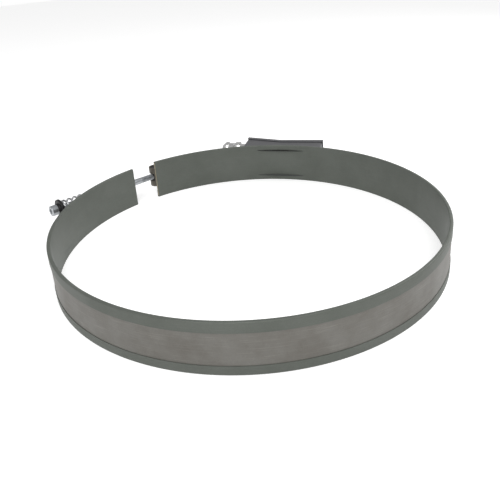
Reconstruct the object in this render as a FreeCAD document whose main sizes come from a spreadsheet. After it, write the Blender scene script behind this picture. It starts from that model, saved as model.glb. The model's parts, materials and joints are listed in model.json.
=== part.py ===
"""Band heater for a large barrel or die: a one-piece band closed by a spring-loaded clamp screw.

Millimetres, +Z along the bore.  The origin lies on the bore axis half way up the band.  The gap of
the band is centred on +Y, and the clamp screw lies parallel to X outside it.
"""
import FreeCAD, Part
import math
import os
import Sketcher

Vector = FreeCAD.Vector
Placement = FreeCAD.Placement
Rotation = FreeCAD.Rotation
X_AXIS = Vector(1, 0, 0)
Z_AXIS = Vector(0, 0, 1)

DRIVING = {
    # band
    "bore_radius": 205.0,
    "band_width": 50.0,
    "gap_angle": 9.4,
    "sheet_thickness": 0.6,
    "upper_lip": 10.0,
    "lower_lip": 9.0,
    "bend_radius": 1.0,
    "vent_diameter": 2.4,
    "vent_height": -13.5,
    # layers inside the band
    "layer_clearance": 0.03,
    "mica_thickness": 0.5,
    "mica_width": 47.0,
    "core_thickness": 0.3,
    "core_width": 38.0,
    "ribbon_thickness": 0.1,
    "ribbon_clearance": 0.08,
    "ribbon_width": 6.0,
    "ribbon_pitch": 18.0,
    "ribbon_end_angle": 1.6,
    # clamp
    "clamp_height": 11.0,
    "barrel_setback": 8.3,
    "barrel_radius": 7.0,
    "barrel_length": 24.0,
    "barrel_edge": 0.6,
    "plain_hole_radius": 4.3,
    "running_clearance": 0.05,
    "strap_thickness": 1.2,
    "strap_width": 26.0,
    "strap_slot": 10.0,
    "strap_wrap_angle": 315.0,
    "strap_weld_length": 36.0,
    # clamp screw and spring
    "screw_radius": 4.0,
    "screw_length": 160.0,
    "screw_thread_length": 38.0,
    "screw_thread_relief": 0.08,
    "screw_point": 1.0,
    "head_radius": 6.5,
    "head_height": 8.0,
    "head_edge": 0.8,
    "socket_flats": 6.0,
    "socket_depth": 4.0,
    "seat_radius": 11.5,
    "seat_thickness": 3.0,
    "seat_hub_radius": 6.9,
    "seat_hub_height": 2.4,
    "seat_pilot_radius": 6.3,
    "seat_pilot_height": 3.0,
    "spring_length": 80.6,
    "spring_radius": 8.0,
    "spring_wire_radius": 1.25,
    "spring_active_turns": 10.0,
    # terminal box
    "box_angle": 35.5,
    "box_half_length": 55.0,
    "box_width": 39.0,
    "box_low_height": 34.0,
    "box_high_height": 45.5,
    "box_ramp_start": 6.0,
    "box_wall": 1.0,
    "box_floor": 1.2,
    "box_seat_clearance": 0.1,
    "lid_thickness": 1.0,
    "lid_flange": 6.0,
    "lid_clearance": 0.15,
    "lid_tab_length": 17.0,
    "lid_tab_width": 12.0,
    "lid_screw_inset": 12.0,
    "lid_screw_radius": 1.95,
    "lid_screw_length": 5.0,
    "lid_screw_head_radius": 3.6,
    "lid_screw_head_height": 2.4,
    # terminals
    "terminal_angle": 5.0,
    "terminal_radius": 2.5,
    "terminal_length": 24.0,
    "terminal_head_radius": 5.0,
    "terminal_head_height": 0.4,
    "bush_radius": 4.3,
    "bush_flange_radius": 6.5,
    "bush_flange_height": 3.0,
    "bush_clearance": 0.2,
    "washer_radius": 5.0,
    "washer_thickness": 1.0,
    "nut_flats": 8.0,
    "nut_height": 4.0,
    "earth_angle": 11.0,
    "earth_screw_radius": 2.0,
    "earth_screw_length": 9.0,
    "earth_head_radius": 4.0,
    "earth_head_height": 2.8,
    # cable gland
    "gland_height": 31.0,
    "gland_offset": 4.0,
    "gland_thread_radius": 10.0,
    "gland_inner_reach": 8.0,
    "gland_collar_radius": 10.8,
    "gland_collar_length": 9.0,
    "gland_flats": 24.0,
    "gland_hex_length": 9.0,
    "gland_bore_radius": 6.5,
    "gland_cone_radius": 9.2,
    "gland_cone_length": 11.0,
    "locknut_thickness": 4.0,
    "dome_skirt_radius": 12.0,
    "dome_skirt_length": 8.0,
    "dome_hex_length": 6.5,
    "dome_nose_length": 3.0,
    "dome_nose_radius": 9.5,
    "seal_bore_radius": 4.5,
    "seal_length": 6.0,
}

doc = FreeCAD.newDocument("BandHeater")
sheet = doc.addObject("Spreadsheet::Sheet", "Sizes")
for row, (alias, number) in enumerate(DRIVING.items(), start=1):
    sheet.set(f"A{row}", alias)
    sheet.set(f"B{row}", str(number))
    sheet.setAlias(f"B{row}", alias)
doc.recompute()


class Dim:
    """A dimension with its value and with the sheet expression that properties are bound to."""

    def __init__(self, value, text):
        self.value = float(value)
        self.text = text

    def __add__(self, other):
        other = as_dim(other)
        return Dim(self.value + other.value, f"({self.text} + {other.text})")

    def __sub__(self, other):
        other = as_dim(other)
        return Dim(self.value - other.value, f"({self.text} - {other.text})")

    def __mul__(self, other):
        other = as_dim(other)
        return Dim(self.value * other.value, f"({self.text} * {other.text})")

    def __truediv__(self, other):
        other = as_dim(other)
        return Dim(self.value / other.value, f"({self.text} / {other.text})")

    def __neg__(self):
        return Dim(-self.value, f"(0 - {self.text})")

    def __radd__(self, other):
        return as_dim(other) + self

    def __rsub__(self, other):
        return as_dim(other) - self

    def __rmul__(self, other):
        return as_dim(other) * self


def as_dim(value):
    if isinstance(value, Dim):
        return value
    return Dim(value, f"({float(value):.9f})")


def cell(alias):
    return Dim(sheet.get(alias), f"Sizes.{alias}")


# ---- radii of the layers, from the bore outwards
sheet_thickness = cell("sheet_thickness")
bore_radius = cell("bore_radius")
half_width = cell("band_width") / 2
layer_clearance = cell("layer_clearance")
inner_mica_radius = bore_radius + sheet_thickness + layer_clearance
ribbon_room = cell("ribbon_thickness") + 2 * cell("ribbon_clearance")
core_radius = inner_mica_radius + cell("mica_thickness") + ribbon_room
core_outer_radius = core_radius + cell("core_thickness")
outer_mica_radius = core_outer_radius + ribbon_room
outer_mica_face = outer_mica_radius + cell("mica_thickness")
strip_radius = outer_mica_face + layer_clearance
strip_face = strip_radius + sheet_thickness
band_radius = strip_face + sheet_thickness

# ---- clamp
clamp_line = band_radius + cell("clamp_height")
half_gap = math.radians(cell("gap_angle").value / 2)
barrel_x = band_radius.value * math.sin(half_gap) + cell("barrel_setback").value
strap_thickness = cell("strap_thickness")
eye_bore = cell("barrel_radius") + cell("running_clearance")
eye_radius = eye_bore + strap_thickness
spring_end_x = -(barrel_x + eye_radius.value)
seat_face_x = spring_end_x - cell("spring_length").value
head_under_x = (seat_face_x - cell("seat_thickness").value - cell("seat_hub_height").value
                - cell("running_clearance").value)

# ---- terminal box, in its own frame: x outward from the bore axis, y along the band
half_length = cell("box_half_length")
half_box_width = cell("box_width") / 2
box_wall = cell("box_wall")
box_seat = band_radius + cell("box_seat_clearance")
floor_radius = box_seat + cell("box_floor")
low_face = band_radius + cell("box_low_height")
high_face = band_radius + cell("box_high_height")
ramp_start = cell("box_ramp_start")
ramp_slope = (high_face - low_face) / (half_length - ramp_start)
ramp_angle = math.degrees(math.atan(ramp_slope.value))
box_place = Placement(Vector(), Rotation(Z_AXIS, cell("box_angle").value))

parts = []


# ---------------------------------------------------------------- document helpers
def keep(obj, name):
    """Mark an object as a finished sub-part under its own name."""
    obj.Label = name
    parts.append(obj)
    return obj


def bind(obj, **dims):
    for prop, dim in dims.items():
        setattr(obj, prop, dim.value)
        obj.setExpression(prop, dim.text)


def new_body(name):
    body = doc.addObject("PartDesign::Body", name)
    body.Label = name
    return body


def new_sketch(body, role):
    plane = next(item for item in body.Origin.OriginFeatures if item.Role == role)
    sketch = body.newObject("Sketcher::SketchObject", f"{body.Name}_sketch")
    sketch.AttachmentSupport = [(plane, "")]
    sketch.MapMode = "FlatFace"
    return sketch


def pin_point(sketch, geometry, position, corner):
    for kind, dim in zip(("DistanceX", "DistanceY"), corner):
        index = sketch.addConstraint(Sketcher.Constraint(kind, -1, 1, geometry, position, dim.value))
        sketch.setExpression(f"Constraints[{index}]", dim.text)


def outline(body, role, corners):
    """Closed outline of straight edges, each corner bound to the sheet."""
    sketch = new_sketch(body, role)
    corners = [(as_dim(u), as_dim(v)) for u, v in corners]
    points = [Vector(u.value, v.value, 0) for u, v in corners]
    count = len(corners)
    for index in range(count):
        sketch.addGeometry(Part.LineSegment(points[index], points[(index + 1) % count]), False)
    for index in range(count):
        sketch.addConstraint(Sketcher.Constraint("Coincident", index, 2, (index + 1) % count, 1))
    for index in range(count):
        pin_point(sketch, index, 1, corners[index])
    return sketch


def circle(body, role, centre, radius):
    sketch = new_sketch(body, role)
    centre = (as_dim(centre[0]), as_dim(centre[1]))
    middle = Vector(centre[0].value, centre[1].value, 0)
    sketch.addGeometry(Part.Circle(middle, Z_AXIS, radius.value), False)
    pin_point(sketch, 0, 3, centre)
    index = sketch.addConstraint(Sketcher.Constraint("Radius", 0, radius.value))
    sketch.setExpression(f"Constraints[{index}]", radius.text)
    return sketch


def hexagon_corners(flats):
    """Corners of a hexagon with two flats facing along the first sketch axis."""
    corner_radius = flats / math.sqrt(3)
    angles = [math.radians(60 * step + 30) for step in range(6)]
    return [(corner_radius * math.cos(angle), corner_radius * math.sin(angle)) for angle in angles]


def extrude(body, kind, sketch, length, symmetric=True, backwards=False):
    feature = body.newObject(f"PartDesign::{kind}", f"{body.Name}_{kind.lower()}")
    feature.Profile = sketch
    bind(feature, Length=as_dim(length))
    feature.SideType = "Symmetric" if symmetric else "One side"
    feature.Reversed = backwards
    body.Tip = feature
    doc.recompute()
    return feature


def pad(body, sketch, length, symmetric=True, backwards=False):
    return extrude(body, "Pad", sketch, length, symmetric, backwards)


def pocket(body, sketch, length, symmetric=True, backwards=False):
    """Cut a pocket and insist that it has removed something."""
    before = body.Shape.Volume
    feature = extrude(body, "Pocket", sketch, length, symmetric, backwards)
    if not body.Shape.Volume < before:
        raise RuntimeError(f"{feature.Name} cuts nothing")
    return feature


def turn(body, kind, sketch, axis, angle=360):
    feature = body.newObject(f"PartDesign::{kind}", f"{body.Name}_{kind.lower()}")
    feature.Profile = sketch
    feature.ReferenceAxis = (sketch, [axis])
    bind(feature, Angle=as_dim(angle))
    feature.Midplane = True
    body.Tip = feature
    doc.recompute()
    return feature


def turned(name, profile):
    """Body of revolution about its own X axis; the profile holds (x, radius) corners."""
    body = new_body(name)
    turn(body, "Revolution", outline(body, "XY_Plane", profile), "H_Axis")
    return body


def combine(kind, name, shapes):
    feature = doc.addObject(f"Part::{kind}", name)
    if kind == "Cut":
        feature.Base, feature.Tool = shapes
    else:
        feature.Shapes = shapes
    feature.Refine = True
    doc.recompute()
    return feature


def rod(name, radius, length, place=Placement(), angle=None):
    cylinder = doc.addObject("Part::Cylinder", name)
    bind(cylinder, Radius=as_dim(radius), Height=as_dim(length))
    if angle is not None:
        bind(cylinder, Angle=as_dim(angle))
    cylinder.Placement = place
    return cylinder


def block(name, length, width, height, place):
    box = doc.addObject("Part::Box", name)
    bind(box, Length=as_dim(length), Width=as_dim(width), Height=as_dim(height))
    box.Placement = place
    return box


def group(name, solids):
    """Loose copies of one fastener, kept together as one sub-part."""
    feature = doc.addObject("Part::Feature", name)
    feature.Shape = Part.makeCompound(solids)
    return keep(feature, name)


def placed(obj, place):
    shape = obj.Shape.copy()
    shape.Placement = place.multiply(shape.Placement)
    return shape


def about_axis(angle):
    """Placement that turns a part's own X axis to the given angle round the bore."""
    return Placement(Vector(), Rotation(Z_AXIS, angle))


def along_x(x, y=0.0, z=0.0):
    """Placement of a Part cylinder so that it runs along +X from the given point."""
    return Placement(Vector(x, y, z), Rotation(Vector(0, 1, 0), 90))


# ---------------------------------------------------------------- band
def ring_sector(name, corners, missing_angle):
    """Revolve a section (radius, z) round the bore, leaving the gap centred on +Y."""
    body = new_body(name)
    sketch = outline(body, "YZ_Plane", [(-as_dim(radius), z) for radius, z in corners])
    turn(body, "Revolution", sketch, "V_Axis", 360 - missing_angle)
    return body


def layer(name, inner, outer, half_height, missing_angle):
    corners = [(inner, -half_height), (outer, -half_height), (outer, half_height), (inner, half_height)]
    return ring_sector(name, corners, missing_angle)


def circular_edges(shape, radius, height):
    """Names of the arcs of one radius at one height."""
    names = []
    for index, edge in enumerate(shape.Edges, start=1):
        if not isinstance(edge.Curve, Part.Circle):
            continue
        same_radius = abs(edge.Curve.Radius - radius) < 1e-4
        same_height = abs(edge.Curve.Center.z - height) < 1e-4
        if same_radius and same_height:
            names.append(f"Edge{index}")
    return names


def make_inner_sheath():
    """The sheet against the bore, with both rims folded outward over the cover strip."""
    inside = half_width - sheet_thickness
    lip_bore = band_radius - sheet_thickness
    upper = half_width - cell("upper_lip")
    lower = cell("lower_lip") - half_width
    corners = [
        (bore_radius, -half_width),
        (band_radius, -half_width),
        (band_radius, lower),
        (lip_bore, lower),
        (lip_bore, -inside),
        (bore_radius + sheet_thickness, -inside),
        (bore_radius + sheet_thickness, inside),
        (lip_bore, inside),
        (lip_bore, upper),
        (band_radius, upper),
        (band_radius, half_width),
        (bore_radius, half_width),
    ]
    body = ring_sector("inner_sheath", corners, cell("gap_angle"))
    blank = body.Tip
    bends = body.newObject("PartDesign::Fillet", "rim_bends")
    edges = []
    for radius in (bore_radius.value, band_radius.value):
        for height in (-half_width.value, half_width.value):
            edges += circular_edges(blank.Shape, radius, height)
    bends.Base = (blank, edges)
    bind(bends, Radius=cell("bend_radius"))
    body.Tip = bends
    doc.recompute()
    vent = circle(body, "YZ_Plane", (0, cell("vent_height")), cell("vent_diameter") / 2)
    pocket(body, vent, bore_radius + sheet_thickness + layer_clearance / 2, False, True)
    return keep(body, "inner_sheath")


def terminal_angles():
    return [cell("box_angle").value + side * cell("terminal_angle").value for side in (-1, 1)]


def drilled(name, blank, radius, angles):
    """Drill round holes through a layer at the given angles round the bore."""
    drills = []
    for number, angle in enumerate(angles):
        start = about_axis(angle).multiply(along_x(bore_radius.value))
        drills.append(rod(f"{name}_drill_{number}", radius, 2 * cell("clamp_height"), start))
    holes = combine("MultiFuse", f"{name}_holes", drills)
    return keep(combine("Cut", name, (blank, holes)), name)


def make_layers():
    gap = cell("gap_angle")
    mica_height = cell("mica_width") / 2
    inner = layer("inner_mica", inner_mica_radius, inner_mica_radius + cell("mica_thickness"),
                  mica_height, gap)
    keep(inner, "inner_mica")
    core = layer("element_core", core_radius, core_outer_radius, cell("core_width") / 2, gap)
    keep(core, "element_core")
    outer = layer("outer_mica_blank", outer_mica_radius, outer_mica_face, mica_height, gap)
    drilled("outer_mica", outer, cell("terminal_head_radius") + 0.2, terminal_angles())
    cover_height = half_width - sheet_thickness - layer_clearance
    cover = layer("outer_sheath_blank", strip_radius, strip_face, cover_height, gap)
    drilled("outer_sheath", cover, cell("bush_radius") + cell("bush_clearance"), terminal_angles())


def ribbon_section(angle, inner, outer):
    """Cross-section of the ribbon at a fold: inner and outer are (radius, z) of its two faces."""
    half_span = cell("ribbon_width").value / 2 / core_outer_radius.value
    corners = []
    for (radius, z), side in ((inner, -1), (outer, -1), (outer, 1), (inner, 1)):
        turned_by = angle + side * half_span
        corners.append(Vector(radius * math.cos(turned_by), radius * math.sin(turned_by), z))
    return corners


def skin(sections):
    """Solid with flat facets over a row of sections that have the same number of corners."""
    count = len(sections[0])
    facets = []
    for start, end in zip(sections, sections[1:]):
        for corner in range(count):
            after = (corner + 1) % count
            facets.append((start[corner], start[after], end[after]))
            facets.append((start[corner], end[after], end[corner]))
    facets.append(tuple(reversed(sections[0])))
    facets.append(tuple(sections[-1]))
    faces = [Part.Face(Part.makePolygon(list(facet) + [facet[0]])) for facet in facets]
    shell = Part.makeCompound(faces)
    shell.sewShape()
    solid = Part.Solid(shell.Shells[0])
    if solid.Volume < 0:
        solid.reverse()
    return solid


def winding(start_angle, end_angle):
    """Resistance ribbon wound round the core strip; each run across it bends once, half way."""
    thickness = cell("ribbon_thickness").value
    lift = cell("ribbon_clearance").value
    edge = cell("core_width").value / 2 + lift
    pitch_angle = cell("ribbon_pitch").value / core_outer_radius.value
    sweep = math.radians(end_angle - start_angle)
    turns = int(abs(sweep) / pitch_angle)
    step = math.copysign(pitch_angle / 4, sweep)
    angle = math.radians(start_angle)
    sections = []
    for _ in range(turns):
        for radius, outward, first_end in ((core_outer_radius.value, 1, 1), (core_radius.value, -1, -1)):
            for place in (first_end, 0, -first_end):
                near_core = (radius + outward * lift, place * edge)
                off_core = (radius + outward * (lift + thickness), place * (edge + thickness))
                sections.append(ribbon_section(angle, near_core, off_core))
                angle += step if place != -first_end else 0.0
    return skin(sections)


def make_ribbon():
    """Two windings, one from each terminal to its own side of the gap."""
    clear_of_gap = cell("gap_angle").value / 2 + cell("ribbon_end_angle").value
    near_gap = 90 - clear_of_gap
    far_gap = -270 + clear_of_gap
    first, second = terminal_angles()
    group("heating_ribbon", [winding(first, far_gap), winding(second, near_gap)])


# ---------------------------------------------------------------- clamp
def make_strap():
    """Strap spot-welded to the band and rolled round a barrel, slit to let the screw pass."""
    width = cell("strap_width")
    low = -width.value / 2
    centre = Vector(barrel_x, clamp_line.value, 0)
    leg_line = strip_face.value + strap_thickness.value / 2
    eye_line = eye_bore.value + strap_thickness.value / 2
    centre_bearing = math.atan2(centre.x, centre.y)
    lean = math.acos((leg_line + eye_line) / centre.Length) + centre_bearing
    towards_eye = Vector(math.sin(lean), math.cos(lean), 0)
    lean_degrees = math.degrees(lean)

    wrap = cell("strap_wrap_angle")
    eye_place = Placement(centre + Vector(0, 0, low), Rotation(Z_AXIS, 270 - lean_degrees - wrap.value))
    eye_outer = rod("eye_outer", eye_radius, width, eye_place, wrap)
    eye_inner = rod("eye_inner", eye_bore, width, eye_place)
    eye = combine("Cut", "eye", (eye_outer, eye_inner))

    leg_start = towards_eye * leg_line
    leg_end = centre - towards_eye * eye_line
    leg_corner = leg_end - towards_eye * (strap_thickness.value / 2) + Vector(0, 0, low)
    leg_place = Placement(leg_corner, Rotation(Z_AXIS, -lean_degrees))
    leg = block("leg", leg_start.distanceToPoint(leg_end), strap_thickness, width, leg_place)

    foot_angle = math.degrees(cell("strap_weld_length").value / leg_line)
    foot_place = Placement(Vector(0, 0, low), Rotation(Z_AXIS, 90 - lean_degrees - foot_angle))
    foot_outer = rod("foot_outer", strip_face + strap_thickness, width, foot_place, foot_angle)
    foot_inner = rod("foot_inner", strip_face, width, Placement(Vector(0, 0, low), Rotation()))
    foot = combine("Cut", "foot", (foot_outer, foot_inner))

    strap = combine("MultiFuse", "strap_blank", [eye, leg, foot])
    slot = cell("strap_slot")
    corner = centre - Vector(eye_radius.value, slot.value / 2, slot.value / 2)
    opening = block("strap_opening", 2 * eye_radius, 2 * eye_radius, slot, Placement(corner, Rotation()))
    return keep(combine("Cut", "right_clamp_strap", (strap, opening)), "right_clamp_strap")


def make_left_strap(right_strap):
    mirror = doc.addObject("Part::Mirroring", "left_clamp_strap")
    mirror.Source = right_strap
    mirror.Normal = X_AXIS
    doc.recompute()
    return keep(mirror, "left_clamp_strap")


def make_barrel(name, hole_radius, x):
    """Cross barrel that the screw passes through, standing inside the rolled eye."""
    body = new_body(name)
    radius = cell("barrel_radius")
    length = cell("barrel_length")
    blank = pad(body, circle(body, "XY_Plane", (0, 0), radius), length)
    ends = body.newObject("PartDesign::Chamfer", f"{name}_chamfer")
    rims = circular_edges(blank.Shape, radius.value, length.value / 2)
    rims += circular_edges(blank.Shape, radius.value, -length.value / 2)
    ends.Base = (blank, rims)
    bind(ends, Size=cell("barrel_edge"))
    body.Tip = ends
    doc.recompute()
    pocket(body, circle(body, "YZ_Plane", (0, 0), hole_radius), 3 * radius)
    body.Placement = Placement(Vector(x, clamp_line.value, 0), Rotation())
    return keep(body, name)


def make_screw():
    """Socket head cap screw; its thread stands as a plain cylinder a little under size."""
    head = cell("head_height")
    edge = cell("head_edge")
    radius = cell("screw_radius")
    thread = radius - cell("screw_thread_relief")
    tip = head + cell("screw_length")
    point = cell("screw_point")
    thread_start = tip - cell("screw_thread_length")
    profile = [
        (0, 0),
        (0, cell("head_radius") - edge),
        (edge, cell("head_radius")),
        (head, cell("head_radius")),
        (head, radius),
        (thread_start, radius),
        (thread_start, thread),
        (tip - point, thread),
        (tip, thread - point),
        (tip, 0),
    ]
    body = turned("clamp_screw", profile)
    socket = outline(body, "YZ_Plane", hexagon_corners(cell("socket_flats")))
    pocket(body, socket, cell("socket_depth"), False, True)
    body.Placement = Placement(Vector(head_under_x - head.value, clamp_line.value, 0), Rotation())
    return keep(body, "clamp_screw")


def make_spring_seat():
    """Stepped collar between the head and the spring, with a pilot inside the end coil."""
    bore = cell("screw_radius") + 2 * cell("running_clearance")
    hub = cell("seat_hub_height")
    flange = hub + cell("seat_thickness")
    end = flange + cell("seat_pilot_height")
    profile = [
        (0, bore),
        (0, cell("seat_hub_radius")),
        (hub, cell("seat_hub_radius")),
        (hub, cell("seat_radius")),
        (flange, cell("seat_radius")),
        (flange, cell("seat_pilot_radius")),
        (end, cell("seat_pilot_radius")),
        (end, bore),
    ]
    body = turned("spring_seat", profile)
    body.Placement = Placement(Vector(seat_face_x - flange.value, clamp_line.value, 0), Rotation())
    return keep(body, "spring_seat")


def make_spring():
    """Compression spring with one close turn at each end; six-sided wire."""
    steps_per_turn = 20
    wire_sides = 6
    close_turns = 1.0
    wire = cell("spring_wire_radius").value
    radius = cell("spring_radius").value
    close_pitch = 2.08 * wire
    active = cell("spring_active_turns").value
    end_gap = 0.1
    free_run = cell("spring_length").value - 2 * (wire + end_gap) - 2 * close_turns * close_pitch
    open_pitch = free_run / active
    steps = int(round((active + 2 * close_turns) * steps_per_turn))
    sections = []
    x = seat_face_x + wire + end_gap
    for step in range(steps + 1):
        around = math.tau * step / steps_per_turn
        corners = []
        for side in range(wire_sides + 1):
            tilt = math.tau * (side % wire_sides) / wire_sides
            reach = radius + wire * math.sin(tilt)
            corners.append(Vector(x + wire * math.cos(tilt),
                                  clamp_line.value + reach * math.cos(around),
                                  reach * math.sin(around)))
        sections.append(Part.makePolygon(corners))
        turns_done = (step + 0.5) / steps_per_turn
        in_close_turn = turns_done < close_turns or turns_done > close_turns + active
        x += (close_pitch if in_close_turn else open_pitch) / steps_per_turn
    feature = doc.addObject("Part::Feature", "clamp_spring")
    feature.Shape = Part.makeLoft(sections, True, True)
    return keep(feature, "clamp_spring")


# ---------------------------------------------------------------- terminal box
def ramp_height(y):
    """Height of the body's open rim at a place along the box."""
    return low_face.value + max(0.0, y - ramp_start.value) * ramp_slope.value


def lid_screw_places():
    """Where the two lid screws sit, each with its own X axis pointing out of the lid."""
    run = half_length.value - cell("lid_screw_inset").value
    thickness = cell("lid_thickness").value
    flat = Placement(Vector(low_face.value + thickness, -run, 0), Rotation())
    on_ramp = Vector(ramp_height(run), run, 0)
    tilt = Rotation(Z_AXIS, -ramp_angle)
    sloped = Placement(on_ramp + tilt.multVec(Vector(thickness, 0, 0)), tilt)
    return [flat, sloped]


def screw_holes(name, radius):
    drills = []
    depth = cell("lid_screw_length")
    for number, place in enumerate(lid_screw_places()):
        start = place.multiply(along_x(-depth.value))
        drills.append(rod(f"{name}_drill_{number}", radius, 2 * depth, start))
    return combine("MultiFuse", f"{name}_holes", drills)


def make_box_body():
    """Open box saddled on the band, with a curved floor and two tabs for the lid screws."""
    body = new_body("terminal_box_blank")
    inside = half_length - box_wall
    base = bore_radius - 15
    walls = [
        (base, -half_length),
        (low_face, -half_length),
        (low_face, ramp_start),
        (high_face, half_length),
        (base, half_length),
    ]
    pad(body, outline(body, "XY_Plane", walls), cell("box_width"))
    above = high_face + 5
    cavity = [(base - 1, -inside), (above, -inside), (above, inside), (base - 1, inside)]
    pocket(body, outline(body, "XY_Plane", cavity), cell("box_width") - 2 * box_wall)

    floor_corners = [
        (box_seat, -half_box_width + box_wall / 2),
        (floor_radius, -half_box_width + box_wall / 2),
        (floor_radius, half_box_width - box_wall / 2),
        (box_seat, half_box_width - box_wall / 2),
    ]
    floor_span = 2 * math.degrees(math.asin((half_length - box_wall / 2).value / floor_radius.value))
    floor = outline(body, "XZ_Plane", floor_corners)
    turn(body, "Revolution", floor, "V_Axis", floor_span)

    tab_wall = box_wall * 1.2
    tab_end = inside - cell("lid_tab_length")
    drop = ramp_slope * (half_length - tab_end)
    flat_tab = [
        (low_face - tab_wall, -inside - box_wall / 2),
        (low_face, -inside - box_wall / 2),
        (low_face, -tab_end),
        (low_face - tab_wall, -tab_end),
    ]
    wall_drop = ramp_slope * (half_length - inside - box_wall / 2)
    ramp_tab = [
        (high_face - wall_drop - tab_wall, inside + box_wall / 2),
        (high_face - wall_drop, inside + box_wall / 2),
        (high_face - drop, tab_end),
        (high_face - drop - tab_wall, tab_end),
    ]
    for tab in (flat_tab, ramp_tab):
        pad(body, outline(body, "XY_Plane", tab), cell("lid_tab_width"))

    saddle = [(0, -half_width), (box_seat, -half_width), (box_seat, half_width), (0, half_width)]
    turn(body, "Groove", outline(body, "XZ_Plane", saddle), "V_Axis")

    gland_height = band_radius + cell("gland_height")
    entry = circle(body, "XZ_Plane", (gland_height, cell("gland_offset")),
                   cell("gland_thread_radius") + cell("lid_clearance"))
    pocket(body, entry, half_length + 1, False, False)

    tools = [screw_holes("box_screw", cell("lid_screw_radius") + cell("running_clearance"))]
    reach = cell("box_floor").value + 4
    bush_hole = cell("bush_radius") + cell("bush_clearance")
    earth_hole = cell("earth_screw_radius") + cell("running_clearance")
    for number, angle, radius in (
        (0, -cell("terminal_angle").value, bush_hole),
        (1, cell("terminal_angle").value, bush_hole),
        (2, -cell("earth_angle").value, earth_hole),
    ):
        start = about_axis(angle).multiply(along_x(box_seat.value - 2))
        tools.append(rod(f"floor_drill_{number}", radius, reach, start))
    holes = combine("MultiFuse", "box_holes", tools)
    box = combine("Cut", "terminal_box_body", (body, holes))
    box.Placement = box_place
    return keep(box, "terminal_box_body")


def make_lid():
    """Folded lid over the box: a flat half, a half that rises towards the gland, and side flanges."""
    body = new_body("terminal_box_lid_blank")
    thickness = cell("lid_thickness")
    flange = cell("lid_flange")
    clearance = cell("lid_clearance")
    overhang = half_length + clearance + thickness
    rise = ramp_slope * (clearance + thickness)
    plate = [
        (low_face - flange, -overhang),
        (low_face + thickness, -overhang),
        (low_face + thickness, ramp_start),
        (high_face + thickness + ramp_slope * clearance, half_length + clearance),
        (high_face - flange + ramp_slope * clearance, half_length + clearance),
        (low_face - flange, ramp_start),
    ]
    full_width = cell("box_width") + 2 * (clearance + thickness)
    pad(body, outline(body, "XY_Plane", plate), full_width)
    hollow = [
        (low_face - 2 * flange, -half_length - clearance),
        (low_face, -half_length - clearance),
        (low_face, ramp_start),
        (high_face + rise, half_length + clearance + thickness),
        (low_face - 2 * flange, half_length + clearance + thickness),
    ]
    pocket(body, outline(body, "XY_Plane", hollow), cell("box_width") + 2 * clearance)
    holes = screw_holes("lid_screw", cell("lid_screw_radius") + 2 * clearance)
    lid = combine("Cut", "terminal_box_lid", (body, holes))
    lid.Placement = box_place
    return keep(lid, "terminal_box_lid")


def make_lid_screws():
    radius = cell("lid_screw_radius")
    head_radius = cell("lid_screw_head_radius")
    head = cell("lid_screw_head_height")
    profile = [
        (-cell("lid_screw_length"), 0),
        (-cell("lid_screw_length"), radius),
        (0, radius),
        (0, head_radius),
        (head * 0.6, head_radius),
        (head, head_radius * 0.6),
        (head, 0),
    ]
    screw = turned("lid_screw_pattern", profile)
    slot_depth = head * 0.45
    slot = outline(screw, "XY_Plane", [
        (head - slot_depth, -head_radius),
        (head + slot_depth, -head_radius),
        (head + slot_depth, head_radius),
        (head - slot_depth, head_radius),
    ])
    pocket(screw, slot, head * 0.4)
    group("lid_screws", [placed(screw, box_place.multiply(place)) for place in lid_screw_places()])


# ---------------------------------------------------------------- terminals
def washer_profile(start, bore):
    end = start + cell("washer_thickness")
    return [(start, bore), (start, cell("washer_radius")), (end, cell("washer_radius")), (end, bore)]


def make_nut(start):
    """Hexagon nut with turned corners, on the terminal's own X axis."""
    body = new_body("terminal_nut_pattern")
    corner = cell("nut_flats") / math.sqrt(3)
    height = cell("nut_height")
    edge = corner - cell("nut_flats") / 2
    bore = cell("terminal_radius") + cell("running_clearance")
    pad(body, outline(body, "YZ_Plane", hexagon_corners(cell("nut_flats"))), height, False)
    outside = 2 * corner
    for end, inward in ((as_dim(0), 1), (height, -1)):
        rim = [(end, corner - edge), (end + inward * edge * 0.5, corner), (end + inward * edge * 0.5, outside),
               (end - inward * edge, outside), (end - inward * edge, corner - edge)]
        turn(body, "Groove", outline(body, "XY_Plane", rim), "H_Axis")
    pocket(body, circle(body, "YZ_Plane", (0, 0), bore), 3 * height)
    body.Placement = Placement(Vector(start, 0, 0), Rotation())
    return body


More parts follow.
